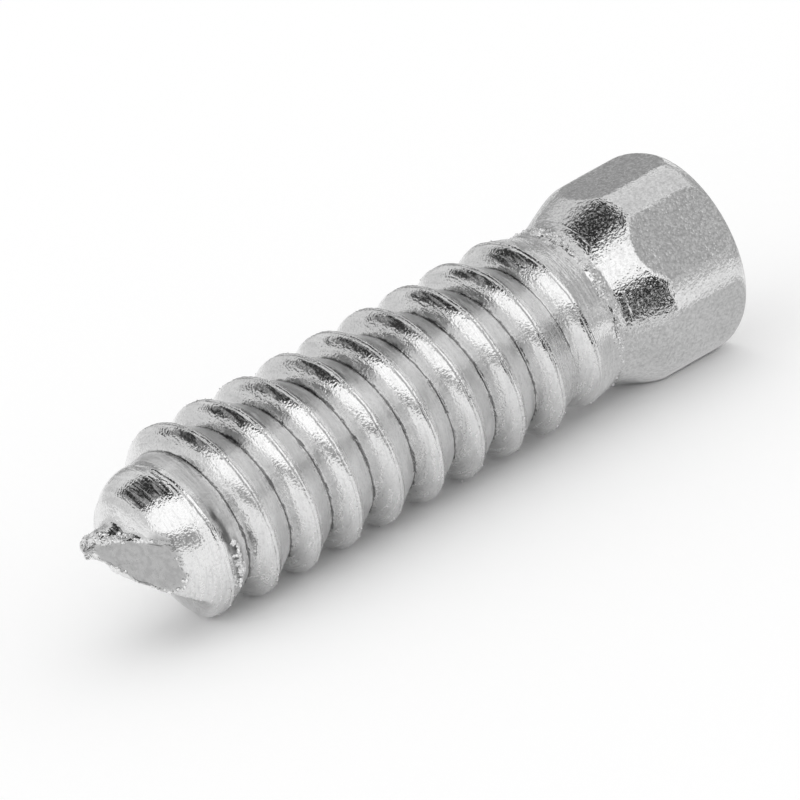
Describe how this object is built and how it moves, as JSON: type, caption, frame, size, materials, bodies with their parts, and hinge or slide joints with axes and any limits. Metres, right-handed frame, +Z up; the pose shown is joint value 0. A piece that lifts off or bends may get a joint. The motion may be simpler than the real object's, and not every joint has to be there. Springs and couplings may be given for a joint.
{
  "type": "tire stud screw",
  "caption": "Short zinc-plated steel stud screw with a coarse right-hand tapping thread, a sheared off-centre point and a hexagonal head with rounded corners.",
  "frame": {"origin": "on the ground under the middle of the lying screw's bounding box", "axes": "+X along the screw from its point to its head, +Z up from the ground it lies on, +Y to the left seen from the point"},
  "size_m": [0.0202, 0.0058, 0.0055],
  "materials": {
    "plated_steel": "bright zinc-plated cold-formed steel, fine pits and rolling marks"
  },
  "bodies": {
    "root": {"stud_screw": "plated_steel"}
  },
  "joints": []
}
